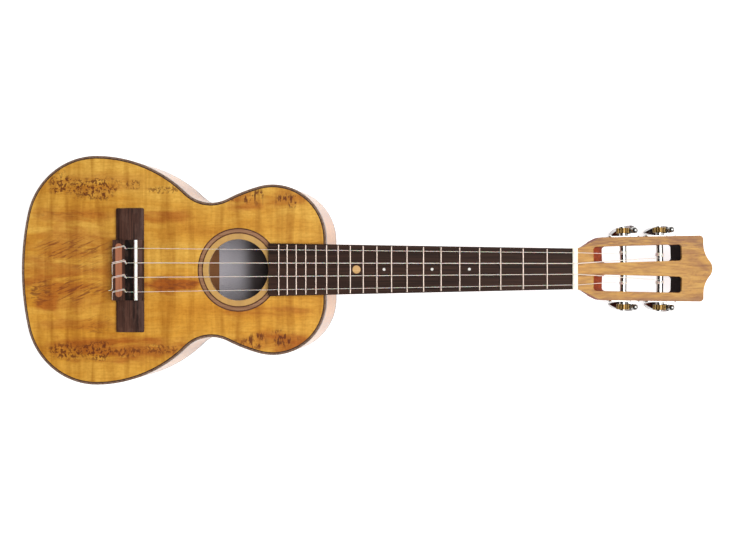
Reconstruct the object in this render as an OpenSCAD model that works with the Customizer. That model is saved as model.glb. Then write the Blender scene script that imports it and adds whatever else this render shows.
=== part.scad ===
// Tenor ukulele with a slotted head, four rear-facing tuning pegs and a tie bridge.
// Frame: +X runs from the tail to the head, +Y across the body towards the low-pitched side,
// +Z out of the soundboard. The flat back rests on z = 0 and the origin is under the middle.
// Lengths are in millimetres. Inside the modules x is counted from the nut, along the neck.

/* [Body] */
// Depth of the body from the back to the soundboard
body_depth = 67; // [55:0.5:80]
// Thickness of the soundboard and of the back
plate_t = 2.2; // [1.6:0.1:3]
// Thickness of the bent sides and width of the binding
side_t = 2; // [1.4:0.1:3]
// Height of the edge binding
binding_h = 5; // [3:0.5:8]
// Width of the dark line inside the top binding
purfling_w = 0.9; // [0.5:0.1:1.5]
// Thickness of the strips that join the sides to the plates
lining_t = 5; // [3:0.5:7]
// Height of those strips
lining_h = 7; // [5:0.5:12]
// Radius of the sound hole
hole_r = 30.75; // [25:0.25:38]
// Distance from the sound hole's edge to the inlaid ring
ring_gap = 5.75; // [3:0.25:9]
// Width of the inlaid ring
ring_w = 5.5; // [3:0.25:8]

/* [Neck and fretboard] */
// String length from the nut to the saddle, which sets every fret
scale_length = 432; // [420:1:445]
// Number of frets
fret_count = 19; // [14:1:19]
// Fretboard width at the nut
nut_width = 39.4; // [34:0.1:44]
// Fretboard width at its end over the body
board_end_width = 52.6; // [45:0.1:58]
// Fretboard thickness
board_t = 5; // [4:0.5:7]
// Height of the fret wire above the board
fret_h = 0.9; // [0.6:0.1:1.4]
// Neck depth under the board at the nut
neck_d = 13; // [11:0.5:16]

/* [Head] */
// Angle at which the head leans back
head_tilt = 14; // [8:0.5:18]
// Length of the head along its face
head_len = 135.5; // [120:0.5:150]
// Thickness of the head with its face veneer
head_t = 15.5; // [13:0.5:18]
// Thickness of the face veneer
veneer_t = 1.5; // [0.8:0.1:3]
// Width of each of the two string slots
slot_w = 15.9; // [14:0.1:18]

/* [Tuning pegs] */
// Radius of the string rollers
roller_r = 3.4; // [3:0.1:4]
// Radial gap of every turning fit
running_gap = 0.05; // [0.02:0.01:0.1]
// Number of teeth on each roller's gear
gear_teeth = 14; // [12:1:16]
// Distance between a roller's axis and its worm's axis
worm_offset = 8.5; // [8:0.1:9]
// Length of the finger buttons
button_len = 28.5; // [24:0.1:29]

/* [Strings] */
// Radius of the two thin outer strings
thin_r = 0.3; // [0.25:0.01:0.4]
// Radius of the third string
middle_r = 0.4; // [0.3:0.01:0.5]
// Radius of the thickest string
thick_r = 0.475; // [0.4:0.005:0.6]

/* [Hidden] */
eps = 0.01;
arc_steps = 240;
// Body outline: radius and turn of each arc, from the middle of the tail to the shoulder.
ARCS = [[267.6, 12.7], [74.2, 78], [138.4, 43.2], [37.4, -70.2], [170.5, 11.5], [54.6, 104.8]];
tail_x = -557.7;
shoulder_x = -240.54;
hole_x = -329.9;
board_end_x = -298;
top_z = body_depth;
board_z = top_z + board_t;
inner_low = plate_t;
inner_high = top_z - plate_t;
ring_r = hole_r + ring_gap;
nut_t = 5.2;
// The head's own frame: s along its face from the nut, w out of its face.
head_x = nut_t + veneer_t*sin(head_tilt);
head_z = top_z + veneer_t*cos(head_tilt);
x_shift = -(tail_x + head_x + head_len*cos(head_tilt))/2;
roller_s = [47.6, 84.6];
roller_w = -8.3;
side_angle = atan(1.8/93);
saddle_x = -433.3;
saddle_top = top_z + 10.5;
nut_rest = board_z + 1;

// ---- frames ----
module from_nut() translate([x_shift, 0, 0]) children();
module on_head() from_nut() translate([head_x, 0, head_z]) rotate([0, head_tilt, 0]) children();
// A tuning peg's own frame: x along the head's edge, y outwards, z out of the face.
module at_peg(side, s)
    on_head() mirror([0, side < 0 ? 1 : 0, 0])
        translate([s, head_half(s), roller_w]) rotate([0, 0, side_angle]) children();
// Stands an x-z profile up and runs it along y, centred on the neck's line.
module along_y(length) translate([0, length/2, 0]) rotate([90, 0, 0])
    linear_extrude(length) children();

// ---- body outline ----
function turned(i) = i == 0 ? 0 : turned(i - 1) + ARCS[i - 1][1];
function bend(i) = ARCS[i][1] > 0 ? 1 : -1;
function heading(i) = 90 - turned(i);
function on_arc(i, h, d) = arc_centre(i) + bend(i)*(ARCS[i][0] - bend(i)*d)*[-sin(h), cos(h)];
function arc_start(i, d) = on_arc(i, heading(i), d);
function arc_end(i, d) = on_arc(i, heading(i + 1), d);
function arc_centre(i) = (i == 0 ? [tail_x, 0] : arc_end(i - 1, 0))
    + bend(i)*ARCS[i][0]*[sin(heading(i)), -cos(heading(i))];

// How far arc i is drawn past its meeting point with arc j. The tighter of two arcs runs on
// inside the other, which stops short, so they meet in a clean step of under 0.04 mm.
short = [1.5, 1];
function past(i, j) = j < 0 || j == len(ARCS) ? 0
    : bend(i) < 0 ? -short[1]
    : bend(j) < 0 || ARCS[j][0] > ARCS[i][0] ? 3 : -short[0];
function swing(i, length) = bend(i)*length*180/(PI*ARCS[i][0]);

// An anticlockwise list of points as it is, or mirrored to the -y side and still anticlockwise.
function onto(side, p) = side > 0 ? p : [for (i = [len(p) - 1 : -1 : 0]) [p[i][0], -p[i][1]]];
// Closes a list of points on the +y side with its mirror image, anticlockwise.
function both_sides(p) = concat([for (q = p) [q[0], -q[1]]],
    [for (i = [len(p) - 1 : -1 : 0]) p[i]]);

// The piece of disc between an arc of the outline and its chord, and a little past the chord.
cap_root = 6;
module arc_cap(i, d, side) {
    ends = [on_arc(i, heading(i) + swing(i, past(i, i - 1)), d),
        on_arc(i, heading(i + 1) - swing(i, past(i, i + 1)), d)];
    a = ends[bend(i) > 0 ? 0 : 1];
    b = ends[bend(i) > 0 ? 1 : 0];
    chord = (b - a)/norm(b - a);
    out = [-chord[1], chord[0]];
    intersection() {
        translate(onto(side, [arc_centre(i)])[0])
            circle(ARCS[i][0] - bend(i)*d, $fn = arc_steps);
        polygon(onto(side, [a - cap_root*out, b - cap_root*out, b + 60*out, a + 60*out]));
    }
}
// What lies between the core and a hollow arc, with its outer part for the arc to cut off.
module hollow_fill(i, d, side) {
    h = [heading(i) - swing(i, short[0]), heading(i + 1) + swing(i, short[0])];
    polygon(onto(side, [on_arc(i, h[0], d + 8), on_arc(i, h[1], d + 8), on_arc(i, h[1], d - 3),
        on_arc(i, h[0], d - 3)]));
}

// The body's outline, moved inwards by d.
module outline(d) {
    last = len(ARCS) - 1;
    root = d + cap_root/2;
    ends = [for (i = [0 : last]) arc_end(i, i == last ? d : root)];
    difference() {
        union() {
            polygon(concat(both_sides(ends), [arc_start(0, root)]));
            for (side = [-1, 1], i = [0 : last])
                if (bend(i) > 0) arc_cap(i, d, side); else hollow_fill(i, d, side);
        }
        for (side = [-1, 1], i = [0 : last]) if (bend(i) < 0) arc_cap(i, d, side);
    }
}

module slab(z, h, d) translate([0, 0, z]) linear_extrude(h) outline(d);
module band(z, h, outer, inner) difference() { slab(z, h, outer); slab(z - 1, h + 2, inner); }
module y_side(side) intersection() {
    children();
    translate([-600, side > 0 ? 0 : -150, -10]) cube([500, 150, 100]);
}

// ---- body pieces ----
module soundboard() color("tan") from_nut() difference() {
    slab(inner_high, plate_t, side_t);
    band(top_z - 1.5, 3, side_t - 1, side_t + purfling_w);
    translate([hole_x, 0, inner_high - 1]) cylinder(r = hole_r, h = plate_t + 2);
    translate([hole_x, 0, top_z - 1]) ring(ring_r, ring_r + ring_w, 2);
}
module ring(inner, outer, h) difference() {
    cylinder(r = outer, h = h);
    translate([0, 0, -1]) cylinder(r = inner, h = h + 2);
}
line_w = 1.2;
module rosette_ring() color("sienna") from_nut() translate([hole_x, 0, top_z - 1])
    ring(ring_r + line_w, ring_r + ring_w - line_w, 1);
module rosette_lines() color("saddlebrown") from_nut() translate([hole_x, 0, top_z - 1]) {
    ring(ring_r, ring_r + line_w, 1);
    ring(ring_r + ring_w - line_w, ring_r + ring_w, 1);
}
module top_purfling() color("black") from_nut()
    band(top_z - 1.5, 1.5, side_t, side_t + purfling_w);
module top_binding() color("dimgray") from_nut() band(top_z - binding_h, binding_h, 0, side_t);
module back_binding() color("dimgray") from_nut() band(0, binding_h, 0, side_t);
module back_plate() color("peru") from_nut() slab(0, plate_t, side_t);

wedge_w = [7, 11];
module tail_cut() translate([tail_x - 1, 0, 0]) rotate([0, 90, 0]) linear_extrude(6)
    polygon([[-binding_h, -wedge_w[1]/2], [-binding_h, wedge_w[1]/2],
        [binding_h - top_z, wedge_w[0]/2], [binding_h - top_z, -wedge_w[0]/2]]);
module side_wall(side) from_nut() difference() {
    y_side(side) band(binding_h, top_z - 2*binding_h, 0, side_t);
    tail_cut();
}
module side_bass() color("peru") side_wall(1);
module side_treble() color("peru") side_wall(-1);
module tail_wedge() color("saddlebrown") from_nut() intersection() {
    band(binding_h, top_z - 2*binding_h, 0, side_t);
    tail_cut();
}

block_w = 54;
module blocks_space() {
    translate([shoulder_x - 26, -block_w/2, 0]) cube([30, block_w, body_depth]);
    translate([tail_x - 1, -22, 0]) cube([15, 44, body_depth]);
}
module linings(z) from_nut() difference() {
    band(z, lining_h, side_t, side_t + lining_t);
    blocks_space();
}
module top_linings() color("burlywood") linings(inner_high - lining_h);
module back_linings() color("burlywood") linings(inner_low);
module block_in(x, length, width) from_nut() intersection() {
    slab(inner_low, inner_high - inner_low, side_t);
    translate([x, -width/2, 0]) cube([length, width, body_depth]);
}
module neck_block() color("burlywood") block_in(shoulder_x - 26, 30, block_w);
module tail_block() color("burlywood") block_in(tail_x - 1, 15, 44);

// One cross brace with thinned ends, standing on z = 0 and centred on y = 0.
module cross_brace(half, w, h) translate([-w/2, 0, 0]) rotate([90, 0, 90]) linear_extrude(w)
    polygon([[-half, 0], [-half, 1.5], [-half + 22, h], [half - 22, h], [half, 1.5], [half, 0]]);
module transverse_braces() color("wheat") from_nut()
    for (b = [[-279.5, 73], [-374, 61]])
        translate([b[0], 0, inner_high]) mirror([0, 0, 1]) cross_brace(b[1], 7, 9);
module back_braces() color("wheat") from_nut()
    for (b = [[-288, 75], [-381, 62], [-475, 107]])
        translate([b[0], 0, inner_low]) cross_brace(b[1], 8, 9);
module bridge_plate() color("wheat") from_nut()
    translate([-463, -72, inner_high - 2]) cube([43, 144, 2]);
module fan_braces() color("wheat") from_nut() difference() {
    for (a = [-11, 0, 11])
        translate([-383, -1.2*a, inner_high]) rotate([0, 0, 180 + a]) rotate([90, 0, 0])
            translate([0, 0, -2.5]) linear_extrude(5)
                polygon([[0, 0], [0, -1.5], [18, -7], [110, -7], [135, -1.5], [135, 0]]);
    translate([-463.02, -72.02, inner_high - 2]) cube([43.04, 144.04, 3]);
}
label_x = [-366.3, -299];
module back_centre_strip() color("wheat") from_nut()
    for (span = [[-540, -479.5], [-470.5, -385.5]])
        translate([span[0], -6, inner_low]) cube([span[1] - span[0], 12, 1.8]);
module paper_label() color("ivory") from_nut()
    translate([label_x[0], -33, inner_low]) cube([label_x[1] - label_x[0], 66, 0.2]);

// ---- neck ----
function board_half(x) = (nut_width + (board_end_width - nut_width)*x/board_end_x)/2;
heel_d = top_z - 3;
heel_cap_l = 18;
heel_l = 48;
heel_half = [25, 12];
shaft_n = 2.3;
function super(u, n) = pow(max(0, 1 - pow(max(0, u), n)), 1/n);
function shaft_depth(x) = neck_d + 2*x/shoulder_x;
function heel_reach(d) = let (u = (heel_d - d)/(heel_d - shaft_depth(shoulder_x)))
    heel_l - (heel_l - heel_cap_l)*super(u, 2.3);
function heel_at(l, d) = (heel_half[0] - (heel_half[0] - heel_half[1])*pow(d/heel_d, 1.3))
    * super(l/heel_reach(d), 2.2);
function depth_at(x) = let (l = x - shoulder_x, u = (heel_l - l)/(heel_l - heel_cap_l))
    l <= heel_cap_l ? heel_d
    : l < heel_l ? max(shaft_depth(x), heel_d - (heel_d - shaft_depth(x))*super(u, 2.3))
    : shaft_depth(x);
function half_at(x, d) = max(0.1, board_half(x)*super(d/shaft_depth(x), shaft_n),
    x - shoulder_x < heel_l ? heel_at(x - shoulder_x, d) : 0);

section_n = 22;
function drop(k) = sin(90*k/section_n);
function mirrored(side) = concat(side, [for (i = [len(side) - 1 : -1 : 0])
    [side[i][0], -side[i][1], side[i][2]]]);
function shaft_ring(x) = mirrored([for (k = [0 : section_n])
    [x, half_at(x, depth_at(x)*drop(k)), top_z - depth_at(x)*drop(k)]]);
// Where the neck turns into the head: from a rounded to a square section.
head_start = 14;
function throat_ring(s) = let (
    n = shaft_n + 12*pow(s/head_start, 2),
    d = neck_d + (head_t - veneer_t - neck_d)*s/head_start)
    mirrored([for (k = [0 : section_n]) let (w = -veneer_t - d*drop(k))
        [head_x + s*cos(head_tilt) + w*sin(head_tilt),
         max(0.1, (s == head_start && k < section_n ? 1 : super(drop(k), n))*head_half(s)),
         head_z - s*sin(head_tilt) + w*cos(head_tilt)]]);

// Skins a list of closed rings that all have the same number of points.
module skin(rings) {
    m = len(rings[0]);
    n = len(rings);
    polyhedron(
        points = [for (r = rings) each r],
        faces = concat(
            [for (i = [0 : n - 2], j = [0 : m - 1]) let (k = (j + 1) % m)
                each [[i*m + j, (i + 1)*m + j, i*m + k], [i*m + k, (i + 1)*m + j, (i + 1)*m + k]]],
            [[for (j = [0 : m - 1]) j], [for (j = [m - 1 : -1 : 0]) (n - 1)*m + j]]));
}
module neck() color("chocolate") from_nut() skin(concat(
    [for (k = [0 : 9]) shaft_ring(shoulder_x + heel_cap_l*sin(9*k))],
    [for (k = [0 : 15]) shaft_ring(shoulder_x + heel_cap_l + (heel_l - heel_cap_l)
        *(1 - cos(90*k/15)) + 0.02)],
    [for (k = [1 : 11]) shaft_ring(shoulder_x + heel_l - (shoulder_x + heel_l)*k/11)],
    [for (k = [0 : 7]) throat_ring(head_start*k/7)]));
module heel_cap() color("saddlebrown") from_nut() intersection() {
    translate([shoulder_x, 0, 0]) linear_extrude(3 - 0.02) scale([heel_cap_l/12, 1]) circle(12);
    translate([shoulder_x, -20, -1]) cube([30, 40, 6]);
}

// ---- fretboard ----
function fret_x(n) = scale_length*(pow(2, -n/12) - 1);
function between(n) = (fret_x(n) + fret_x(n - 1))/2;
tang = [0.5, 1.7];
dot_r = 1.4;
disc_r = 4;
module tangs() for (n = [1 : fret_count])
    translate([fret_x(n) - tang[0]/2, 1 - board_half(fret_x(n)), board_z - tang[1]])
        cube([tang[0], 2*board_half(fret_x(n)) - 2, tang[1]]);
module dots() for (n = [5, 7, 10]) translate([between(n), 0, board_z - 1])
    cylinder(r = dot_r, h = 1);
module disc() translate([between(12), 0, board_z - 1]) cylinder(r = disc_r, h = 1);
module fretboard() color("#3a2a24") from_nut() difference() {
    translate([0, 0, top_z]) linear_extrude(board_t) polygon([
        [0, nut_width/2], [board_end_x, board_end_width/2],
        [board_end_x, -board_end_width/2], [0, -nut_width/2]]);
    tangs();
    dots();
    disc();
}
crown_half = 1.05;
crown_r = (pow(crown_half, 2) + pow(fret_h, 2))/(2*fret_h);
module frets() color("silver") from_nut() {
    tangs();
    for (n = [1 : fret_count]) translate([fret_x(n), 0, board_z])
        along_y(2*board_half(fret_x(n)) - 2) intersection() {
            translate([0, fret_h - crown_r]) circle(crown_r);
            translate([-2, 0]) square([4, 2]);
        }
}
module position_dots() color("white") from_nut() dots();
module twelfth_fret_marker() color("goldenrod") from_nut() disc();

// ---- strings' course ----
// Name order: g, c, e, a. Height of each string is that of its middle.
STRING_R = [thin_r, thick_r, middle_r, thin_r];
NUT_Y = [15.45, 5.15, -5.15, -15.45];
SADDLE_Y = [21.95, 7.3, -7.3, -21.95];
ROLLER_OF = [0, 1, 1, 0];
SIDE_OF = [1, 1, -1, -1];
LANE_Y = [14.2, 10.8, 11.2, 12.2];
REST_TURN = [20, 6, 10, 8];
wind_turns = 3;

// ---- nut, bridge and saddle ----
module nut() color("ivory") from_nut() difference() {
    along_y(nut_width + 0.6) polygon([[0, top_z], [0, nut_rest + 0.5], [0.5, nut_rest + 0.9],
        [2.2, nut_rest + 0.9], [4.6, nut_rest + 0.1], [nut_t, nut_rest - 0.7], [nut_t, top_z]]);
    for (i = [0 : 3]) translate([-1, NUT_Y[i], nut_rest + STRING_R[i]]) {
        rotate([0, 90, 0]) cylinder(r = STRING_R[i] + 0.02, h = 8);
        translate([0, -STRING_R[i] - 0.02, 0]) cube([8, 2*STRING_R[i] + 0.04, 3]);
    }
}

bridge_x = [-456.2, -427.4];
bridge_l = 125.7;
tie_x = [-457.8, -446.5];
tie_l = 61.3;
tie_top = top_z + 8.2;
tie_hole_z = top_z + 4.9;
recess_z = top_z + 2.6;
saddle_t = 3.2;
module rounded_rect(x, y, w, h, r) {
    translate([x + r, y]) square([w - 2*r, h]);
    translate([x, y + r]) square([w, h - 2*r]);
    for (cx = [x + r, x + w - r], cy = [y + r, y + h - r]) translate([cx, cy]) circle(r);
}
inlay_x = [-454.9, -447.8];
inlay_l = 54.2;
module inlay_shape() let (r = (inlay_x[1] - inlay_x[0])/2) {
    translate([inlay_x[0], r - inlay_l/2]) square([2*r, inlay_l - 2*r]);
    for (s = [-1, 1]) translate([inlay_x[0] + r, s*(inlay_l/2 - r)]) circle(r);
}
module saddle_shape() along_y(tie_l - 0.6) {
    translate([saddle_x - saddle_t/2, recess_z])
        square([saddle_t, saddle_top - recess_z - saddle_t/2]);
    translate([saddle_x, saddle_top - saddle_t/2]) circle(saddle_t/2);
}
function both_ways(p) = concat([for (i = [len(p) - 1 : -1 : 0]) p[i]],
    [for (q = p) [-q[0], q[1]]]);
module bridge() color("#3a2a24") from_nut() difference() {
    union() {
        // The low wings, domed across and thinning towards their ends
        intersection() {
            translate([0, 0, top_z]) linear_extrude(8) rounded_rect(bridge_x[0], -bridge_l/2,
                bridge_x[1] - bridge_x[0], bridge_l, 1.5);
            along_y(bridge_l + 2) translate([(bridge_x[0] + bridge_x[1])/2, top_z + 4.6 - 42])
                circle(42, $fn = arc_steps);
            rotate([90, 0, 90]) translate([0, 0, -500]) linear_extrude(100)
                polygon(both_ways([[tie_l/2, top_z + 5], [bridge_l/2 + 1, top_z + 2.8],
                    [bridge_l/2 + 1, top_z - 1]]));
        }
        translate([tie_x[0], -tie_l/2, top_z]) cube([tie_x[1] - tie_x[0], tie_l, 8.2]);
        translate([tie_x[1] - eps, -tie_l/2, top_z])
            cube([bridge_x[1] - 2 - tie_x[1], tie_l, recess_z - top_z]);
        along_y(tie_l) difference() {
            translate([saddle_x - 3, top_z]) square([8.9, 8.2]);
            translate([bridge_x[1] - 0.01, top_z + 8.2]) rotate(45) square([7, 5], center = true);
        }
    }
    // The channel where the strings come out in front of the block
    translate([tie_x[1], -tie_l/2, recess_z]) cube([saddle_x - 3 - tie_x[1], tie_l, 10]);
    translate([0, 0, tie_top - 1]) linear_extrude(2) inlay_shape();
    saddle_shape();
    for (i = [0 : 3]) translate([tie_x[0] - 1, SADDLE_Y[i], tie_hole_z]) rotate([0, 90, 0])
        cylinder(r = 0.75, h = tie_x[1] - tie_x[0] + 2);
}
module saddle() color("white") from_nut() saddle_shape();
module tie_block_inlay() color("#b57a5a") from_nut()
    translate([0, 0, tie_top - 1]) linear_extrude(1) inlay_shape();

// ---- head ----
flare_end = 25;
edge_slope = tan(side_angle);
// The flare from the nut: a short hollow, a straight run and a tight round, each a share of it.
flare_hollow = 0.18;
flare_round = 0.2;
flare_slope = 1/(1 - (flare_hollow + flare_round)/2);
function ease(u) = u >= 1 ? 1
    : u > 1 - flare_round ? 1 - flare_slope*pow(1 - u, 2)/(2*flare_round)
    : u > flare_hollow ? flare_slope*(u - flare_hollow/2)
    : flare_slope*u*u/(2*flare_hollow);
function head_half(s) = 20.25 + 10.2*ease(s/flare_end) + edge_slope*max(0, s - flare_end);
crown_s = head_len - 9.2;
tip_r = 11;
hollow_r = 26;
corner_r = 4;
hollow_c = [crown_s + hollow_r,
    sqrt(pow(hollow_r + tip_r, 2) - pow(crown_s + hollow_r - head_len + tip_r, 2))];
touch = [head_len - tip_r, 0] + tip_r/(hollow_r + tip_r)*(hollow_c - [head_len - tip_r, 0]);
// Outline of the head's face from distance s0 to the tip.
module head_shape(s0) {
    edge = [for (k = [0 : 20]) let (s = s0 + (flare_end - s0)*k/20) [s, head_half(s)]];
    corner = [crown_s - corner_r, head_half(crown_s - corner_r) - corner_r/cos(side_angle)];
    polygon(both_sides(concat(edge, [corner + corner_r*[-sin(side_angle), cos(side_angle)],
        corner, [crown_s, corner[1]], [crown_s, hollow_c[1]]])));
    for (m = [-1, 1]) translate([corner[0], m*corner[1]]) circle(corner_r);
    difference() {
        polygon(both_sides([[crown_s - 1, hollow_c[1]], [crown_s, hollow_c[1]], touch,
            [head_len - 1, 2]]));
        for (m = [0, 1]) mirror([0, m]) translate(hollow_c) circle(hollow_r);
    }
    translate([head_len - tip_r, 0]) circle(tip_r);
}
slot_face = [14.6, 104.3];
slot_back = [28.9, 98.9];
slot_mid = [[28, 13.7], [80, 15.1]];
slot_angle = atan((slot_mid[1][1] - slot_mid[0][1])/(slot_mid[1][0] - slot_mid[0][0]));
slot_corner = 3;
// One end of a slot: a rounded opening that leans by the given angle.
module slot_end(s, lean, length) translate([s, 0, 0]) rotate([0, lean, 0])
    translate([0, 0, -90]) linear_extrude(150)
        rounded_rect(length < 0 ? length : 0, -slot_w/2, abs(length), slot_w, slot_corner);
module slots() for (m = [0, 1]) mirror([0, m, 0])
    translate([slot_mid[0][0], slot_mid[0][1], 0]) rotate([0, 0, slot_angle])
        translate([-slot_mid[0][0], 0, 0]) intersection() {
            translate([0, -slot_w/2 - 1, -head_t - 1]) cube([120, slot_w + 2, head_t + 2]);
            slot_end(slot_face[0], -atan((slot_back[0] - slot_face[0])/head_t), 80);
            slot_end(slot_face[1], atan((slot_face[1] - slot_back[1])/head_t), -100);
        }
roller_in = 28.2;
screw_x = [-12.8, 12.8];
screw_r = 1.1;
module all_pegs() for (side = [1, -1], s = roller_s) at_peg(side, s) children();
module headstock() color("chocolate") difference() {
    on_head() translate([0, 0, -head_t]) linear_extrude(head_t - veneer_t) head_shape(head_start);
    on_head() slots();
    all_pegs() {
        translate([0, -roller_in - 0.4, 0]) rotate([-90, 0, 0])
            cylinder(r = roller_r + running_gap, h = roller_in + 2);
        for (x = screw_x) translate([x, -7, 0]) rotate([-90, 0, 0]) cylinder(r = screw_r, h = 9);
    }
}
module headplate() color("tan") on_head() difference() {
    translate([0, 0, -veneer_t]) linear_extrude(veneer_t) head_shape(0);
    slots();
}

// ---- tuning pegs ----
peg_plate_t = 1;
gear_y = [3.7, 8.7];
worm_y = (gear_y[0] + gear_y[1])/2;
seat_r = 2.4;
lug_z = 5.2;
lug_t = 1.2;
shaft_r = 1.7;
tooth_pitch = 2*PI*5.8/gear_teeth;
thread = [2.5, 0.6];
button_z = [-37.2, -19.4];
module y_cylinder(r, y0, y1) translate([0, y0, 0]) rotate([-90, 0, 0])
    cylinder(r = r, h = y1 - y0);
module tuner_plate() difference() {
    union() {
        translate([0, peg_plate_t, 0]) rotate([90, 0, 0]) linear_extrude(peg_plate_t)
            rounded_rect(-15.4, -5.4, 30.8, 10.8, 2.4);
        translate([worm_offset - 2.9, 0, -lug_z - lug_t])
            cube([5.8, peg_plate_t, 2*(lug_z + lug_t)]);
        for (z = [-lug_z - lug_t, lug_z]) translate([worm_offset, 0, z]) {
            translate([-2.9, 0, 0]) cube([5.8, worm_y, lug_t]);
            translate([0, worm_y, 0]) cylinder(r = 2.9, h = lug_t);
        }
    }
    y_cylinder(roller_r + running_gap, -1, 2);
    for (x = screw_x) translate([x, 0, 0]) y_cylinder(screw_r + 0.1, -1, 2);
    translate([worm_offset, worm_y, -9]) cylinder(r = shaft_r + running_gap, h = 18);
}
module tuner_plates_bass() color("silver") for (s = roller_s) at_peg(1, s) tuner_plate();
module tuner_plates_treble() color("silver") for (s = roller_s) at_peg(-1, s) tuner_plate();
module plate_screw() {
    y_cylinder(screw_r, -6.8, 1.2);
    difference() {
        intersection() {
            y_cylinder(2.1, 1, 2.4);
            translate([0, -0.4, 0]) sphere(2.75);
        }
        for (a = [0, 90]) rotate([0, a, 0]) translate([-0.3, 1.75, -1.4]) cube([0.6, 2, 2.8]);
    }
}
module plate_screws() color("silver") all_pegs()
    for (x = screw_x) translate([x, 0, 0]) plate_screw();

module roller() {
    y_cylinder(roller_r, -roller_in, gear_y[0] - 0.05);
    y_cylinder(seat_r, gear_y[0] - 0.1, gear_y[1]);
    // The gear's screw, with a driver slot
    difference() {
        y_cylinder(3.2, gear_y[1], gear_y[1] + 1.2);
        translate([-4, gear_y[1] + 0.5, -0.4]) cube([8, 2, 0.8]);
    }
}
module gear() translate([0, gear_y[1], 0]) rotate([90, 0, 0]) linear_extrude(gear_y[1] - gear_y[0])
    difference() {
        union() {
            circle(5.1);
            for (k = [0 : gear_teeth - 1]) rotate(k*360/gear_teeth) polygon([[4.7, -0.72],
                [5.4, -0.65], [6, -0.5], [6.3, -0.25], [6.3, 0.25], [6, 0.5], [5.4, 0.65],
                [4.7, 0.72]]);
        }
        circle(seat_r);
    }
thread_half = 4.9;
module worm() translate([worm_offset, worm_y, 0]) {
    translate([0, 0, -thread_half])
        linear_extrude(2*thread_half, twist = -720*thread_half/tooth_pitch, slices = 48)
            rotate(-360*thread_half/tooth_pitch) translate([thread[1], 0]) circle(thread[0], $fn = 20);
    translate([0, 0, thread_half - 0.5]) cylinder(r = shaft_r, h = 8 - thread_half);
    translate([0, 0, 9.65]) sphere(3.1);
    translate([0, 0, -9]) cylinder(r = shaft_r, h = 9.5 - thread_half);
    translate([0, 0, -7.8]) cylinder(r = 2.9, h = 1.2);
    translate([0, 0, button_z[1] - 9]) cylinder(r = 1.6, h = 9 - button_z[1] - 8);
}
// Finger button: a leaf-shaped plan cut to a rounded paddle.
leaf_half = 4.6;
leaf_r = (pow(button_len/2, 2) + pow(leaf_half, 2))/(2*leaf_half);
module button(turn) translate([worm_offset, worm_y, 0]) rotate([0, 0, turn]) difference() {
    intersection() {
        translate([0, 0, button_z[0]]) linear_extrude(button_z[1] - button_z[0]) intersection() {
            translate([0, leaf_half - leaf_r]) circle(leaf_r);
            translate([0, leaf_r - leaf_half]) circle(leaf_r);
            circle(button_len/2 - 0.4);
        }
        along_y(12) {
            translate([0, button_z[0] + 9.7]) scale([1.42, 1]) circle(9.75);
            translate([-3.8, button_z[0] + 9.7]) square([7.6, 10]);
        }
    }
    translate([0, 0, button_z[1] - 9]) cylinder(r = 1.6, h = 20);
}

// ---- strings ----
// A tube of radius r along a list of points, closed at both ends.
sides_n = 8;
function unit(v) = v/norm(v);
function tangents(p) = [for (i = [0 : len(p) - 1])
    unit(p[min(i + 1, len(p) - 1)] - p[max(i - 1, 0)])];
module tube(p, r) {
    t = tangents(p);
    first = unit(cross(t[0], [0.31, 0.77, 0.55]));
    // Each ring's reference direction is the last one's, turned as little as the course needs
    refs = [for (i = 0, n = first; i < len(p); i = i + 1,
        n = i < len(p) ? unit(n - (n*t[i])*t[i]) : n) n];
    skin([for (i = [0 : len(p) - 1]) let (b = cross(t[i], refs[i]))
        [for (k = [0 : sides_n - 1]) let (a = -360*k/sides_n) p[i] + r*(cos(a)*refs[i] + sin(a)*b)]]);
}
// Rounds the corners of a course of points.
function eased(p, cut) = concat([p[0]], [for (i = [1 : len(p) - 2])
    let (a = p[i - 1] - p[i], b = p[i + 1] - p[i],
         u = p[i] + a*min(0.45, cut/norm(a)), v = p[i] + b*min(0.45, cut/norm(b)))
    each [for (k = [0 : 3]) let (f = k/3) (1 - f)*(1 - f)*u + 2*f*(1 - f)*p[i] + f*f*v]],
    [p[len(p) - 1]]);

// A point of the head's frame, counted from the nut.
function head_point(s, y, w) = [head_x + s*cos(head_tilt) + w*sin(head_tilt), y,
    head_z - s*sin(head_tilt) + w*cos(head_tilt)];
// Where a roller's axis crosses the lane of string i
function axis_s(i) = let (s = roller_s[ROLLER_OF[i]]) s + (head_half(s) - LANE_Y[i])*edge_slope;
// The string's straight run ends where it touches the roller's top.
function leave_nut(i) = let (x = nut_t - 0.7 - head_x, z = nut_rest + STRING_R[i] - 0.25 - head_z)
    [x*cos(head_tilt) - z*sin(head_tilt), x*sin(head_tilt) + z*cos(head_tilt)];
function lay_r(i) = roller_r + STRING_R[i] + 0.03;
function dive(i) = let (p = leave_nut(i), ds = axis_s(i) - p[0], dw = roller_w - p[1])
    atan2(dw, ds) + asin(lay_r(i)/norm([ds, dw]));
function landing(i) = head_point(axis_s(i) - lay_r(i)*sin(dive(i)), SIDE_OF[i]*LANE_Y[i],
    roller_w + lay_r(i)*cos(dive(i)));

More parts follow.
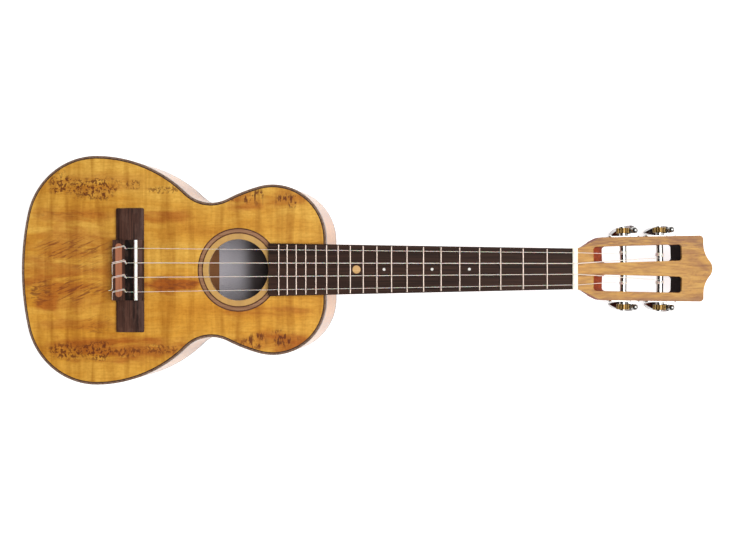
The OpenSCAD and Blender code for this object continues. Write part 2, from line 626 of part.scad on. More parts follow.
// The knot at the bridge: through the block, over it, round itself and back along its rear edge.
function knot(i) = let (y = SADDLE_Y[i], r = STRING_R[i], d = 2*r, gap = 0.04,
    over = tie_top + r + gap, back = tie_x[0] - r - gap, front = tie_x[1] + r + gap) concat(
    i == 0 ? [[back, y - 11.5, tie_top - 1.2], [back, y - 2.4, tie_top - 0.6]]
    : i == 1 ? [[back, y - 12.6, tie_top - 0.9], [back, y - 3, tie_top - 0.4]]
    : i == 2 ? [[back - 4.4, y - 13.4, tie_top - 0.6], [back - 1.6, y - 13, tie_top - 0.4],
        [back, y - 11.5, tie_top - 0.2], [back, y - 3, tie_top - 0.3]]
    : [[back - 0.5, y - 8.4, tie_top - 0.9], [back, y - 4.4, tie_top - 0.3]],
    [[back, y - 1.1 - d, tie_top - 0.3],
     [back, y + 0.1 - 1.15*d, over],
     [front, y + 2.7 - 1.15*d, over],
     [front + 1.2 + r, y + 0.7, tie_hole_z + 1.1 + 1.5*d],
     [front + 1.9, y - d, tie_hole_z + 0.9 + d],
     [front + 1.5, y - d - 0.15, tie_hole_z - 0.1],
     [front + 1.2, y, tie_hole_z + 0.1 - d],
     [front + 0.5, y + 1.3*d, tie_hole_z - 0.4],
     [front, y + 2.9, tie_hole_z + 1.2],
     [front, y + 2.9, over],
     [back, y + 0.3, over],
     [back, y, tie_hole_z],
     [tie_x[1], y, tie_hole_z]]);
function course(i) = let (r = STRING_R[i]) concat(
    eased(concat(knot(i), [
        [saddle_x - saddle_t/2 - 0.1, SADDLE_Y[i], saddle_top + r - 0.75],
        [saddle_x, SADDLE_Y[i], saddle_top + r + 0.03],
        [0.4, NUT_Y[i], nut_rest + r + 0.02],
        [nut_t - 0.7, NUT_Y[i], nut_rest + r - 0.15],
        landing(i)]), 0.5));
module string_of(i) from_nut() tube(course(i), STRING_R[i]);
// Turns of string around a roller, beside the lane where the string lands
module winding_of(i) {
    s = roller_s[ROLLER_OF[i]];
    lane = -(head_half(s) - LANE_Y[i])/cos(side_angle);
    step = 2*STRING_R[i] + 0.12;
    steps = 18;
    at_peg(SIDE_OF[i], s) tube([for (k = [0 : steps*wind_turns]) let (a = 360*k/steps)
        [lay_r(i)*sin(a), lane + step*(1.05 + k/steps), lay_r(i)*cos(a)]], STRING_R[i]);
}

module string_g() color("white") string_of(0);
module string_c() color("white") string_of(1);
module string_e() color("white") string_of(2);
module string_a() color("white") string_of(3);
module winding_g() color("white") winding_of(0);
module winding_c() color("white") winding_of(1);
module winding_e() color("white") winding_of(2);
module winding_a() color("white") winding_of(3);

module peg(i) at_peg(SIDE_OF[i], roller_s[ROLLER_OF[i]]) children();
module roller_g() color("silver") peg(0) roller();
module roller_c() color("silver") peg(1) roller();
module roller_e() color("silver") peg(2) roller();
module roller_a() color("silver") peg(3) roller();
module gear_g() color("gold") peg(0) gear();
module gear_c() color("gold") peg(1) gear();
module gear_e() color("gold") peg(2) gear();
module gear_a() color("gold") peg(3) gear();
module worm_g() color("silver") peg(0) worm();
module worm_c() color("silver") peg(1) worm();
module worm_e() color("silver") peg(2) worm();
module worm_a() color("silver") peg(3) worm();
module button_g() color("maroon") peg(0) button(REST_TURN[0]);
module button_c() color("maroon") peg(1) button(REST_TURN[1]);
module button_e() color("maroon") peg(2) button(REST_TURN[2]);
module button_a() color("maroon") peg(3) button(REST_TURN[3]);

soundboard();
back_plate();
side_bass();
side_treble();
top_binding();
top_purfling();
back_binding();
rosette_ring();
rosette_lines();
top_linings();
back_linings();
neck_block();
tail_block();
tail_wedge();
transverse_braces();
fan_braces();
bridge_plate();
back_braces();
back_centre_strip();
paper_label();
neck();
heel_cap();
headstock();
headplate();
fretboard();
frets();
position_dots();
twelfth_fret_marker();
nut();
bridge();
saddle();
tie_block_inlay();
string_g();
string_c();
string_e();
string_a();
tuner_plates_bass();
tuner_plates_treble();
plate_screws();
roller_g();
roller_c();
roller_e();
roller_a();
gear_g();
gear_c();
gear_e();
gear_a();
winding_g();
winding_c();
winding_e();
winding_a();
worm_g();
worm_c();
worm_e();
worm_a();
button_g();
button_c();
button_e();
button_a();
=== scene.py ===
"""Looks for a tenor ukulele: materials, refined pieces, floor, light and camera."""

import math

import bmesh
import bpy
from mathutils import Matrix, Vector

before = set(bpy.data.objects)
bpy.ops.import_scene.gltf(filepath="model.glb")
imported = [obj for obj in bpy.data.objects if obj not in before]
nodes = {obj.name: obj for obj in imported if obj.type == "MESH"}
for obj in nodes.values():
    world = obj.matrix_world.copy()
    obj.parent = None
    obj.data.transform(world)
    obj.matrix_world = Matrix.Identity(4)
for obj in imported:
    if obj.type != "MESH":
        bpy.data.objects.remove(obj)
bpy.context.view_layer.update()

MM = 0.001

# Camera, solved from the frets and the bridge: place (m), lean to the head and roll (degrees), lens (mm)
CAMERA_AT = (0.150245, -0.0019, 1.1691)
CAMERA_LEAN = 7.2
CAMERA_ROLL = -0.157
CAMERA_LENS = 55.05
SENSOR = 36
FLOOR_HALF = 4
FLOOR_DROP = 0.0002
BACKDROP_R = 3.9
# Lights: place, aim, size (m), power (W)
ROOM_LIGHT = 0.05
KEY_LIGHT = ((1.96, 0.2, 2.94), (0.05, 0, 0.03), (2.8, 3.4), 140)
FILL_LIGHT = ((1.3, -0.6, 2.8), (-0.05, 0, 0), (2, 2), 32)
# Shape refinement: faces closer than this are joined (mm), and edges over this angle are rounded (degrees)
WELD_GAP = 0.05
BEVEL_FROM = 40
CRISP_FROM = 30


# ---- camera, light and stage ----


def make_camera():
    """Looks down on the instrument, leaning a little towards the head."""
    data = bpy.data.cameras.new("camera")
    data.lens = CAMERA_LENS
    data.sensor_width = SENSOR
    data.clip_start = 0.05
    data.clip_end = 20
    cam = bpy.data.objects.new("camera", data)
    cam.location = CAMERA_AT
    cam.rotation_euler = (0, math.radians(CAMERA_LEAN), math.radians(CAMERA_ROLL))
    bpy.context.collection.objects.link(cam)
    bpy.context.scene.camera = cam


def area_light(name, location, target, size, power, in_gloss=True):
    """A rectangular softbox aimed at a point."""
    data = bpy.data.lights.new(name, "AREA")
    data.shape = "RECTANGLE"
    data.size, data.size_y = size
    data.energy = power
    lamp = bpy.data.objects.new(name, data)
    lamp.location = location
    aim = Vector(target) - Vector(location)
    lamp.rotation_euler = aim.to_track_quat("-Z", "Y").to_euler()
    lamp.visible_glossy = in_gloss
    bpy.context.collection.objects.link(lamp)


def make_light():
    """A softbox leaning from the head's end and a soft fill from above, in a dark room."""
    world = bpy.data.worlds.new("studio")
    world.use_nodes = True
    back = world.node_tree.nodes["Background"]
    back.inputs["Color"].default_value = (1, 1, 1, 1)
    back.inputs["Strength"].default_value = ROOM_LIGHT
    bpy.context.scene.world = world
    area_light("key", *KEY_LIGHT)
    area_light("fill", *FILL_LIGHT, in_gloss=False)


def make_floor():
    mesh = bpy.data.meshes.new("floor")
    corners = [(-1, -1), (1, -1), (1, 1), (-1, 1)]
    mesh.from_pydata([(FLOOR_HALF * x, FLOOR_HALF * y, 0) for x, y in corners], [], [(0, 1, 2, 3)])
    floor = bpy.data.objects.new("floor", mesh)
    floor.location.z = -FLOOR_DROP
    bpy.context.collection.objects.link(floor)
    mesh.materials.append(pale_floor())


def make_backdrop():
    """A pale round wall behind the floor, seen only directly, so that it neither lights nor is mirrored."""
    mesh = bpy.data.meshes.new("backdrop")
    form = bmesh.new()
    bmesh.ops.create_uvsphere(form, u_segments=48, v_segments=24, radius=BACKDROP_R)
    form.to_mesh(mesh)
    form.free()
    wall = bpy.data.objects.new("backdrop", mesh)
    wall.visible_diffuse = wall.visible_glossy = False
    wall.visible_transmission = wall.visible_shadow = False
    bpy.context.collection.objects.link(wall)
    mesh.materials.append(pale_floor())


# ---- material building ----


def srgb(r, g, b):
    """Linear colour of an sRGB one given in 0-255."""
    def one(c):
        c /= 255
        return c / 12.92 if c <= 0.04045 else ((c + 0.055) / 1.055) ** 2.4
    return (one(r), one(g), one(b), 1)


def darker(colour, share):
    return tuple(c * share for c in colour[:3]) + (1,)


WHITE = srgb(255, 255, 255)


class Paint:
    """A material with short calls for the nodes it is made of. Positions are in the row frame, in metres."""

    def __init__(self, name):
        self.material = bpy.data.materials.new(name)
        self.material.use_nodes = True
        self.tree = self.material.node_tree
        self.shader = self.tree.nodes["Principled BSDF"]
        self.place = self.add("ShaderNodeTexCoord").outputs["Object"]
        self.xyz = self.add("ShaderNodeSeparateXYZ", {0: self.place}).outputs

    def add(self, kind, links=None, **settings):
        node = self.tree.nodes.new(kind)
        for key, value in settings.items():
            setattr(node, key, value)
        for key, value in (links or {}).items():
            self.feed(node.inputs[key], value)
        return node

    def feed(self, socket, value):
        if isinstance(value, bpy.types.NodeSocket):
            self.tree.links.new(value, socket)
        else:
            socket.default_value = value

    def math(self, operation, a, b=0.0, c=0.0, clamp=False):
        node = self.add("ShaderNodeMath", {0: a, 1: b, 2: c}, operation=operation)
        node.use_clamp = clamp
        return node.outputs[0]

    def point(self, x=0.0, y=0.0, z=0.0):
        return self.add("ShaderNodeCombineXYZ", {0: x, 1: y, 2: z}).outputs[0]

    def scaled(self, vector, scale):
        return self.add("ShaderNodeVectorMath", {0: vector, 1: scale}, operation="MULTIPLY").outputs[0]

    def noise(self, vector, scale, detail=2.0, rough=0.5, warp=0.0):
        """0-1 noise with that many cells a metre along each axis."""
        return self.add("ShaderNodeTexNoise", {"Vector": self.scaled(vector, scale), "Scale": 1.0,
                        "Detail": detail, "Roughness": rough, "Distortion": warp}).outputs["Fac"]

    def cells(self, vector, scale):
        """Distance to the nearest of that many cell centres a metre along each axis."""
        return self.add("ShaderNodeTexVoronoi", {"Vector": self.scaled(vector, scale), "Scale": 1.0,
                        "Randomness": 1.0}).outputs["Distance"]

    def step(self, value, low, high):
        """A smooth step from 0 at low to 1 at high."""
        return self.add("ShaderNodeMapRange", {"Value": value, "From Min": low, "From Max": high},
                        interpolation_type="SMOOTHSTEP").outputs[0]

    def mix(self, share, a, b, blend="MIX"):
        node = self.add("ShaderNodeMix", data_type="RGBA", blend_type=blend)
        self.feed(node.inputs[0], share)
        self.feed(node.inputs[6], a)
        self.feed(node.inputs[7], b)
        return node.outputs[2]

    def ramp(self, value, *stops):
        """Colours by value: stops are (place, colour)."""
        node = self.add("ShaderNodeValToRGB", {0: value})
        band = node.color_ramp.elements
        while len(band) < len(stops):
            band.new(0.5)
        for part, (place, colour) in zip(band, stops):
            part.position = place
            part.color = colour
        return node.outputs[0]

    def tint(self, tone, value, dark, pale_from):
        """Darkens a colour where value is low. dark is (place, colour); from pale_from up nothing changes."""
        return self.mix(1.0, tone, self.ramp(value, dark, (pale_from, WHITE)), "MULTIPLY")

    def normal(self):
        """The shading normal's parts along the row frame's axes."""
        smooth = self.add("ShaderNodeTexCoord").outputs["Normal"]
        return self.add("ShaderNodeSeparateXYZ", {0: smooth}).outputs

    def bump(self, height, depth, strength):
        """Relief of that depth in metres."""
        node = self.add("ShaderNodeBump", {"Height": height, "Distance": depth, "Strength": strength})
        self.tree.links.new(node.outputs[0], self.shader.inputs["Normal"])

    def finish(self, colour, rough, metallic=0.0, coat=0.0, coat_rough=0.05, **sockets):
        self.feed(self.shader.inputs["Base Color"], colour)
        self.feed(self.shader.inputs["Roughness"], rough)
        self.shader.inputs["Metallic"].default_value = metallic
        self.shader.inputs["Coat Weight"].default_value = coat
        self.shader.inputs["Coat Roughness"].default_value = coat_rough
        for key, value in sockets.items():
            self.shader.inputs[key.replace("_", " ")].default_value = value
        return self.material


def pale_floor():
    """Near-white paper that glows a little, so that shadows on it stay faint."""
    p = Paint("pale_floor")
    grey = p.noise(p.place, (9, 9, 9), 3)
    return p.finish(p.mix(grey, (0.56, 0.56, 0.56, 1), (0.6, 0.6, 0.6, 1)), 0.9,
                    Specular_IOR_Level=0.0, Emission_Color=(1, 1, 1, 1), Emission_Strength=0.86)


# ---- wood ----


def spot(p, u, v, centre, half, wobble):
    """1 inside an oval, fading to 0 at its edge. centre and half, its half length and width, are in mm."""
    x = p.math("DIVIDE", p.math("SUBTRACT", u, centre[0] * MM), half[0] * MM)
    y = p.math("DIVIDE", p.math("SUBTRACT", v, centre[1] * MM), half[1] * MM)
    far = p.add("ShaderNodeVectorMath", {0: p.point(x, y)}, operation="LENGTH").outputs["Value"]
    return p.step(p.math("ADD", far, wobble), 1.25, 0.55)


def spots(p, u, v, places, wobble):
    """The strongest of several ovals, each times its amount."""
    total = None
    for centre, half, amount in places:
        one = p.math("MULTIPLY", spot(p, u, v, centre, half, wobble), amount)
        total = one if total is None else p.math("MAXIMUM", total, one)
    return total


# Places on the soundboard in mm: (x, y), (half length, half width), amount
RUST = [((-193, 54), (30, 7), 0.7), ((-292, 57), (52, 9), 0.6), ((-189, -15), (36, 9), 1.0),
        ((-300, -13), (60, 15), 0.8), ((-250, -80), (84, 14), 0.85), ((-292, -56), (48, 7), 0.55),
        ((-78, -73), (42, 11), 0.9), ((-93, -42), (52, 6), 0.55), ((-113, 69), (20, 11), 0.75),
        ((-72, 71), (26, 9), 0.5), ((-268, 88), (60, 12), 0.4), ((-320, -30), (16, 14), 0.9),
        ((-304, 24), (50, 9), 0.6), ((-288, 4), (64, 48), 0.65)]
SPECKS = [((-305, 89), (15, 11), 1.0), ((-270, 84), (29, 12), 1.0), ((-228, 87), (10, 5), 0.8),
          ((-194, 81), (19, 4), 0.75), ((-300, -83), (20, 9), 1.0), ((-268, -83), (22, 10), 1.0),
          ((-236, -83), (20, 6), 0.85), ((-200, -80), (23, 5), 0.75)]
STROKES = [((-105, 74), (14, 9), 1.0), ((-68, 68), (13, 8), 1.0), ((-124, 70), (12, 4), 0.7),
           ((-102, -71), (12, 8), 1.0), ((-74, -68), (13, 9), 1.0), ((-122, -74), (10, 4), 0.6)]
STREAKS = [((-329, -23), (16, 13), 0.8), ((-189, -15), (30, 7), 0.6), ((-189, -8), (34, 3), 0.5),
           ((-270, -60), (22, 4), 0.5), ((-300, 57), (40, 5), 0.3)]
SLANTS = [((-294, -20), (40, 13), 1.0), ((-292, 22), (42, 14), 0.9), ((-270, 4), (22, 8), 0.6),
          ((-262, -52), (26, 6), 0.5)]
SLANT = math.radians(21)  # turn of the slanted streaks from the grain
HOLE_X = -119.57  # the sound hole's centre and the inlaid ring's inner radius (mm)
ROSETTE_R = 36.5
FIGURE = 0.35  # share of slow figure in a wood's grain
# Where the head's slots end towards the tip, and how far out their walls reach (m), which bound the painted
# shade on the slots' tip-end walls
SHADE_SLOT_TIP_X = (0.297, 0.3)
SHADE_SLOT_OUT_Y = (0.0245, 0.0235)
# The bridge's channel, where shade is painted: below this height and inside this half length (m)
SHADED_CHANNEL_Z = (0.0705, 0.0698)
SHADED_CHANNEL_Y = (0.031, 0.0304)


def figured_top():
    """Bookmatched golden top: soft rusty bands, cross-grain flame, dark speckling and gloss."""
    p = Paint("figured_top")
    x, y = p.xyz[0], p.xyz[1]
    v = p.math("ABSOLUTE", y)
    lower_half = p.step(y, 0.003, -0.003)
    sway = p.math("MULTIPLY_ADD", p.noise(p.point(x, v), (9, 14, 1), 2), 0.016, v)
    leaf = p.point(x, sway)
    wobble = p.math("MULTIPLY", p.math("SUBTRACT", p.noise(leaf, (60, 120, 1), 3), 0.5), 1.3)

    cloud = p.noise(leaf, (7, 30, 1), 4, 0.6, 0.3)
    tone = p.ramp(cloud, (0.3, srgb(200, 132, 41)), (0.44, srgb(223, 162, 60)), (0.58, srgb(240, 188, 84)),
                  (0.75, srgb(218, 155, 56)))
    tone = p.mix(p.math("MULTIPLY", lower_half, 0.35), tone, srgb(230, 158, 46))
    soft = p.step(p.noise(leaf, (14, 80, 1), 4, 0.6), 0.3, 0.56)
    rust = p.math("MULTIPLY", spots(p, x, y, RUST, wobble), soft)
    tone = p.mix(p.math("MULTIPLY", rust, 0.9), tone, srgb(178, 92, 28))
    flame = p.noise(leaf, (100, 10, 1), 3, 0.55, 0.5)
    tone = p.tint(tone, flame, (0.32, srgb(216, 202, 176)), 0.6)
    grain = p.noise(leaf, (30, 620, 1), 4, 0.7)
    tone = p.tint(tone, grain, (0.3, srgb(240, 230, 214)), 0.55)
    mottle = p.noise(leaf, (260, 420, 1), 3, 0.6)
    tone = p.tint(tone, mottle, (0.32, srgb(242, 234, 222)), 0.55)

    ring = p.add("ShaderNodeVectorMath", {0: p.point(p.math("SUBTRACT", x, HOLE_X * MM), y)},
                 operation="LENGTH").outputs["Value"]
    inside = p.step(ring, (ROSETTE_R + 0.4) * MM, (ROSETTE_R - 0.4) * MM)
    tone = p.mix(p.math("MULTIPLY", inside, 0.6), tone, srgb(200, 166, 112))

    specks = p.step(p.noise(leaf, (330, 260, 1), 3, 0.62), 0.485, 0.56)
    specks = p.math("MULTIPLY", specks, spots(p, x, y, SPECKS, wobble))
    strokes = p.step(p.noise(p.point(x, y), (250, 80, 1), 3, 0.6), 0.5, 0.56)
    strokes = p.math("MULTIPLY", strokes, spots(p, x, y, STROKES, wobble))
    dark = p.math("MAXIMUM", specks, strokes)
    tone = p.mix(p.math("MULTIPLY", dark, 0.88), tone, srgb(96, 42, 18))
    along = p.math("MULTIPLY_ADD", x, math.cos(SLANT), p.math("MULTIPLY", y, math.sin(SLANT)))
    across = p.math("MULTIPLY_ADD", x, -math.sin(SLANT), p.math("MULTIPLY", y, math.cos(SLANT)))
    slants = p.step(p.noise(p.point(along, across), (55, 430, 1), 4, 0.62, 0.4), 0.5, 0.6)
    slants = p.math("MULTIPLY", slants, spots(p, x, y, SLANTS, wobble))
    tone = p.mix(p.math("MULTIPLY", slants, 0.7), tone, srgb(118, 54, 28))
    streaks = p.step(p.noise(leaf, (80, 300, 1), 4, 0.62, 0.6), 0.49, 0.58)
    streaks = p.math("MULTIPLY", streaks, spots(p, x, y, STREAKS, wobble))
    tone = p.mix(p.math("MULTIPLY", streaks, 0.78), tone, srgb(104, 48, 28))

    p.bump(grain, 0.00003, 0.4)
    return p.finish(tone, p.math("MULTIPLY_ADD", grain, 0.12, 0.3), coat=0.5, coat_rough=0.08)


def blended(p, slow, fine):
    """Fine grain over slower figure."""
    return p.math("MULTIPLY_ADD", slow, FIGURE, p.math("MULTIPLY", fine, 1 - FIGURE))


def plain_wood(name, dark, light, along="x", pitch=(12, 500), gloss=(0.35, 0.5), coat=0.0, shine=0.5):
    """Straight-grained wood with pores. along is the axis that the grain runs along, x or y."""
    p = Paint(name)
    order = {"x": (0, 1, 2), "y": (1, 0, 2)}[along]
    spot_at = p.point(*[p.xyz[i] for i in order])
    slow = p.noise(spot_at, (pitch[0] * 0.4, pitch[1] * 0.12, pitch[1] * 0.12), 2, 0.5, 0.3)
    grain = p.noise(spot_at, (pitch[0], pitch[1], pitch[1]), 4, 0.65)
    share = blended(p, slow, grain)
    tone = p.ramp(share, (0.36, dark), (0.62, light))
    pores = p.step(p.cells(spot_at, (pitch[0] * 8, pitch[1] * 2.4, pitch[1] * 2.4)), 0.17, 0.06)
    tone = p.mix(p.math("MULTIPLY", pores, 0.45), tone, darker(dark, 0.35))
    p.bump(p.math("SUBTRACT", grain, p.math("MULTIPLY", pores, 0.8)), 0.00006, 0.5)
    return p.finish(tone, p.math("MULTIPLY_ADD", grain, gloss[1] - gloss[0], gloss[0]), coat=coat,
                    coat_rough=0.06, Specular_IOR_Level=shine)


def neck_wood():
    """Red-brown straight-grained wood, with painted shade, near black, on the slots' tip-end walls that face
    the nut.
    """
    p = Paint("neck_wood")
    slow = p.noise(p.place, (5, 50, 50), 2, 0.5, 0.3)
    grain = p.noise(p.place, (11, 420, 420), 4, 0.65)
    share = blended(p, slow, grain)
    tone = p.ramp(share, (0.36, srgb(108, 36, 10)), (0.62, srgb(168, 66, 18)))
    pores = p.step(p.cells(p.place, (88, 1000, 1000)), 0.17, 0.06)
    tone = p.mix(p.math("MULTIPLY", pores, 0.45), tone, srgb(60, 22, 10))
    # Painted shade: the slots' tip-end walls, whose faces turn towards the nut, are darkened to near black.
    face = p.add("ShaderNodeNewGeometry").outputs["True Normal"]
    facing = p.add("ShaderNodeSeparateXYZ", {0: face}).outputs[0]
    slot_wall_shade = p.math("MULTIPLY", p.step(facing, -0.32, -0.5), p.step(p.xyz[0], *SHADE_SLOT_TIP_X))
    slot_wall_shade = p.math("MULTIPLY", slot_wall_shade, p.step(p.math("ABSOLUTE", p.xyz[1]), *SHADE_SLOT_OUT_Y))
    tone = p.mix(p.math("MULTIPLY", slot_wall_shade, 0.98), tone, srgb(8, 2, 2))
    p.bump(p.math("SUBTRACT", grain, p.math("MULTIPLY", pores, 0.8)), 0.00006, 0.5)
    return p.finish(tone, p.math("MULTIPLY_ADD", grain, 0.15, 0.5), Specular_IOR_Level=0.12)


def bridge_wood():
    """Dark streaky wood, with painted shade that makes it nearly black down in the channel."""
    p = Paint("bridge_wood")
    v = p.math("ABSOLUTE", p.xyz[1])
    grain = p.noise(p.place, (620, 9, 620), 4, 0.65)
    slow = p.noise(p.place, (90, 5, 90), 2)
    share = blended(p, slow, grain)
    tone = p.ramp(share, (0.36, srgb(28, 15, 12)), (0.62, srgb(88, 57, 46)))
    # Painted shade: the recessed channel is darkened to near black.
    channel = p.math("MULTIPLY", p.step(p.xyz[2], *SHADED_CHANNEL_Z), p.step(v, *SHADED_CHANNEL_Y))
    tone = p.mix(p.math("MULTIPLY", channel, 0.94), tone, srgb(7, 3, 2))
    worn = p.math("MULTIPLY", p.step(p.noise(p.place, (200, 90, 200), 3), 0.5, 0.62), 0.2)
    tone = p.mix(worn, tone, srgb(110, 82, 70))
    p.bump(grain, 0.00006, 0.5)
    return p.finish(tone, p.math("MULTIPLY_ADD", grain, 0.18, 0.5), Specular_IOR_Level=0.25)


def edge_binding():
    """Taupe binding with painted shade on its side faces, so that it is paler on its top face and dark along
    its outer edge.
    """
    p = Paint("edge_binding")
    grain = p.noise(p.place, (400, 400, 900), 4, 0.65)
    tone = p.ramp(grain, (0.35, srgb(100, 76, 60)), (0.62, srgb(142, 114, 96)))
    # Painted shade: faces that turn away from up are darkened.
    up = p.normal()[2]
    tone = p.mix(p.step(up, 0.93, 0.6), tone, srgb(78, 54, 42))
    p.bump(grain, 0.00003, 0.4)
    return p.finish(tone, p.math("MULTIPLY_ADD", grain, 0.12, 0.32), coat=0.3, coat_rough=0.08)


def head_veneer():
    """Golden face of the head: paler down the middle, browner on the rails beside the slots."""
    p = Paint("head_veneer")
    x, v = p.xyz[0], p.math("ABSOLUTE", p.xyz[1])
    grain = p.noise(p.place, (22, 520, 300), 4, 0.65)
    cloud = p.noise(p.place, (30, 90, 60), 3, 0.6, 0.4)
    tone = p.ramp(cloud, (0.32, srgb(158, 106, 46)), (0.5, srgb(183, 132, 53)), (0.68, srgb(195, 148, 67)))
    rail = p.math("MULTIPLY", p.step(p.xyz[1], 0.017, 0.024), p.step(grain, 0.7, 0.4))
    edge = p.math("MULTIPLY", p.step(v, 0.0265, 0.0305), 0.6)
    tone = p.mix(p.math("MAXIMUM", p.math("MULTIPLY", rail, 0.7), edge), tone, srgb(140, 94, 56))
    tone = p.tint(tone, grain, (0.3, srgb(206, 188, 164)), 0.55)
    burl = p.step(p.noise(p.place, (150, 260, 150), 3, 0.6), 0.56, 0.68)
    burl = p.math("MULTIPLY", burl, p.step(x, 0.3, 0.33))
    tone = p.mix(p.math("MULTIPLY", burl, 0.4), tone, srgb(128, 74, 36))
    p.bump(grain, 0.00003, 0.4)
    return p.finish(tone, p.math("MULTIPLY_ADD", grain, 0.12, 0.42), coat=0.1, coat_rough=0.2,
                    Specular_IOR_Level=0.3)


def figured_back():
    """The same figured wood on the back and sides, with waves of flame down the sides."""
    p = Paint("figured_back")
    leaf = p.point(p.xyz[0], p.math("ABSOLUTE", p.xyz[1]), p.xyz[2])
    band = p.noise(leaf, (3, 30, 34), 3, 0.55, 0.4)
    tone = p.ramp(band, (0.3, srgb(176, 104, 40)), (0.5, srgb(208, 144, 60)), (0.75, srgb(190, 122, 46)))
    flame = p.noise(leaf, (75, 14, 8), 2, 0.5, 0.35)
    tone = p.tint(tone, flame, (0.3, srgb(205, 190, 175)), 0.7)
    grain = p.noise(leaf, (16, 800, 800), 4, 0.65)
    tone = p.tint(tone, grain, (0.3, srgb(200, 176, 150)), 0.55)
    specks = p.math("MULTIPLY", p.step(p.noise(leaf, (300, 250, 250), 3, 0.6), 0.6, 0.66),
                    p.step(p.noise(leaf, (7, 26, 24), 2), 0.55, 0.66))
    tone = p.mix(p.math("MULTIPLY", specks, 0.7), tone, srgb(88, 46, 24))
    up = p.normal()[2]
    raw_inside = p.math("MULTIPLY", p.step(up, 0.5, 0.9), p.step(p.xyz[2], 0.012, 0.008))
    tone = p.mix(p.math("MULTIPLY", raw_inside, 0.85), tone, srgb(128, 88, 60))
    p.bump(grain, 0.00003, 0.4)
    return p.finish(tone, p.math("MULTIPLY_ADD", grain, 0.12, 0.3), coat=0.4, coat_rough=0.05)


# ---- metal, bone, nylon, resin, paper ----


def polished(name, tone, rough, scuff=0.5):
    """Bright metal with faint rubbing marks."""
    p = Paint(name)
    marks = p.noise(p.place, (900, 60, 900), 4, 0.7)
    cloud = p.noise(p.place, (160, 160, 160), 3)
    colour = p.mix(p.math("MULTIPLY", cloud, scuff), tone, darker(tone, 0.72))
    p.bump(marks, 0.000008, 0.3)
    return p.finish(colour, p.math("MULTIPLY_ADD", marks, 0.12, rough), metallic=1.0)


def bone_like(name, tone, rough):
    p = Paint(name)
    cloud = p.noise(p.place, (120, 60, 120), 3)
    fine = p.noise(p.place, (500, 2500, 500), 3)
    colour = p.mix(p.math("MULTIPLY", cloud, 0.25), tone, darker(tone, 0.82))
    p.bump(fine, 0.00001, 0.4)
    return p.finish(colour, p.math("MULTIPLY_ADD", fine, 0.1, rough), coat=0.2,
                    Subsurface_Weight=0.12, Subsurface_Scale=0.002)


def nylon():
    p = Paint("nylon")
    fine = p.noise(p.place, (300, 2500, 2500), 3)
    colour = p.mix(fine, srgb(244, 232, 222), srgb(232, 214, 200))
    return p.finish(colour, p.math("MULTIPLY_ADD", fine, 0.1, 0.22), coat=0.3,
                    Subsurface_Weight=0.2, Subsurface_Scale=0.001)


def pearl():
    p = Paint("pearl")
    swirl = p.noise(p.place, (900, 900, 900), 3, 0.6, 0.8)
    colour = p.ramp(swirl, (0.3, srgb(210, 222, 214)), (0.5, srgb(240, 238, 230)), (0.7, srgb(226, 206, 214)))
    return p.finish(colour, 0.18, coat=0.5, Sheen_Weight=0.1)


def button_resin():
    """Dark tortoise resin: amber clouds deep in brown."""
    p = Paint("button_resin")
    cloud = p.noise(p.place, (170, 170, 170), 4, 0.6, 0.6)
    colour = p.ramp(cloud, (0.4, srgb(30, 9, 7)), (0.54, srgb(66, 22, 12)), (0.7, srgb(140, 72, 32)))
    fine = p.noise(p.place, (1200, 1200, 1200), 2)
    p.bump(fine, 0.000006, 0.4)
    return p.finish(colour, p.math("MULTIPLY_ADD", fine, 0.08, 0.16), coat=0.8, coat_rough=0.04)


def label_paper():
    p = Paint("label_paper")
    fibre = p.noise(p.place, (900, 900, 900), 4, 0.7)
    age_and_shade_edge = p.noise(p.place, (30, 30, 30), 3)
    colour = p.mix(p.math("MULTIPLY_ADD", fibre, 0.5, p.math("MULTIPLY", age_and_shade_edge, 0.4)), srgb(206, 202, 208),
                   srgb(168, 164, 172))
    # Painted shade: the paper darkens to a deep brown towards +x, on the neck's side of the hole; the age
    # noise also wobbles this shade's edge.
    painted_shade = p.step(p.math("MULTIPLY_ADD", age_and_shade_edge, 0.01, p.xyz[0]), -0.131, -0.11)
    colour = p.mix(p.math("MULTIPLY", painted_shade, 0.85), colour, srgb(58, 42, 34))
    p.bump(fibre, 0.00005, 0.5)
    return p.finish(colour, 0.85)


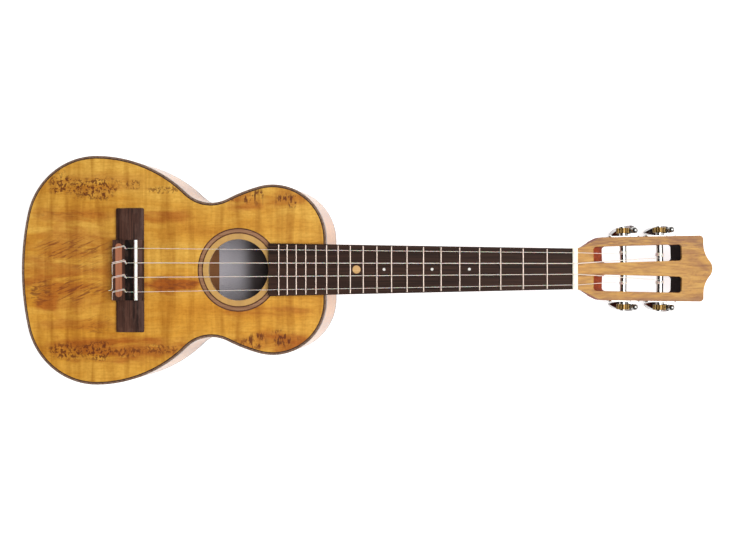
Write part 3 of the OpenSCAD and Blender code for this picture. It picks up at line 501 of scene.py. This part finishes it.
def paint_nodes():
    """Gives every CAD node its material."""
    inner = plain_wood("inner_wood", srgb(126, 88, 60), srgb(172, 132, 94), gloss=(0.7, 0.9))
    brace = plain_wood("brace_wood", srgb(196, 160, 112), srgb(232, 206, 160), along="y", gloss=(0.7, 0.9))
    dark_board = plain_wood("dark_board", srgb(27, 16, 12), srgb(67, 44, 34), pitch=(9, 700),
                            gloss=(0.5, 0.68), shine=0.2)
    binding = edge_binding()
    line = plain_wood("dark_line", srgb(46, 30, 22), srgb(74, 50, 38), gloss=(0.3, 0.4), coat=0.5)
    mahogany = neck_wood()
    metal = polished("nickel", (0.56, 0.55, 0.53, 1), 0.1)
    slots = {
        figured_top(): ["soundboard"],
        figured_back(): ["back_plate", "side_bass", "side_treble"],
        binding: ["top_binding", "back_binding", "tail_wedge", "heel_cap"],
        line: ["top_purfling"],
        plain_wood("rosette_band", srgb(138, 96, 68), srgb(176, 132, 98), pitch=(30, 600),
                   gloss=(0.3, 0.4), coat=0.4): ["rosette_ring"],
        plain_wood("rosette_line", srgb(62, 34, 24), srgb(96, 58, 42), gloss=(0.3, 0.4),
                   coat=0.4): ["rosette_lines"],
        inner: ["top_linings", "back_linings", "neck_block", "tail_block", "bridge_plate"],
        brace: ["transverse_braces", "fan_braces", "back_braces", "back_centre_strip"],
        label_paper(): ["paper_label"],
        mahogany: ["neck", "headstock"],
        head_veneer(): ["headplate"],
        dark_board: ["fretboard"],
        bridge_wood(): ["bridge"],
        polished("fret_metal", srgb(196, 178, 166), 0.34, 0.25): ["frets"],
        pearl(): ["position_dots"],
        plain_wood("gold_disc", srgb(184, 136, 78), srgb(226, 184, 124)): ["twelfth_fret_marker"],
        bone_like("nut_bone", srgb(250, 242, 222), 0.3): ["nut"],
        bone_like("saddle_bone", srgb(252, 250, 244), 0.28): ["saddle"],
        plain_wood("bridge_inlay", srgb(140, 82, 56), srgb(182, 118, 86), along="y"): ["tie_block_inlay"],
        nylon(): ["string_" + k for k in "gcea"] + ["winding_" + k for k in "gcea"],
        metal: ["tuner_plates_bass", "tuner_plates_treble", "plate_screws"] + ["roller_" + k for k in "gcea"],
        polished("satin_nickel", (0.4, 0.39, 0.37, 1), 0.22): ["worm_" + k for k in "gcea"],
        polished("gear_brass", srgb(156, 126, 76), 0.24, 0.9): ["gear_" + k for k in "gcea"],
        button_resin(): ["button_" + k for k in "gcea"],
    }
    for material, names in slots.items():
        for name in names:
            mesh = nodes[name].data
            mesh.materials.clear()
            mesh.materials.append(material)


# ---- shape refinements ----


def refine(names, edge=0.0, smooth_levels=0, sharp=0):
    """Joins a node's faces and shades them evenly. It can round the edges by that width in mm, keep those
    over sharp degrees crisp, or smooth the node all over."""
    for name in names:
        piece = nodes[name]
        for face in piece.data.polygons:
            face.use_smooth = True
        weld = piece.modifiers.new("weld", "WELD")
        weld.merge_threshold = WELD_GAP * MM
        if edge:
            bevel = piece.modifiers.new("bevel", "BEVEL")
            bevel.width = edge * MM
            bevel.segments = 2
            bevel.limit_method = "ANGLE"
            bevel.angle_limit = math.radians(BEVEL_FROM)
        if sharp:
            split = piece.modifiers.new("sharp", "EDGE_SPLIT")
            split.split_angle = math.radians(sharp)
        if smooth_levels:
            subdivision = piece.modifiers.new("smooth", "SUBSURF")
            subdivision.levels = subdivision.render_levels = smooth_levels
        else:
            piece.modifiers.new("normals", "WEIGHTED_NORMAL")


def refine_nodes():
    pegs = "gcea"
    refine(["top_binding", "back_binding", "fretboard", "heel_cap", "tie_block_inlay"], 0.3)
    refine(["bridge", "headplate", "saddle"], 0.4)
    refine(["nut", "frets", "tuner_plates_bass", "tuner_plates_treble", "plate_screws"], 0.12)
    refine(["gear_" + k for k in pegs] + ["roller_" + k for k in pegs], 0.12)
    refine(["button_" + k for k in pegs], 0.9)
    refine(["neck", "headstock"] + ["worm_" + k for k in pegs], sharp=CRISP_FROM)
    refine(["string_" + k for k in pegs] + ["winding_" + k for k in pegs], smooth_levels=1)


make_camera()
make_light()
make_floor()
make_backdrop()
paint_nodes()
refine_nodes()
bpy.context.scene.view_settings.view_transform = "Standard"
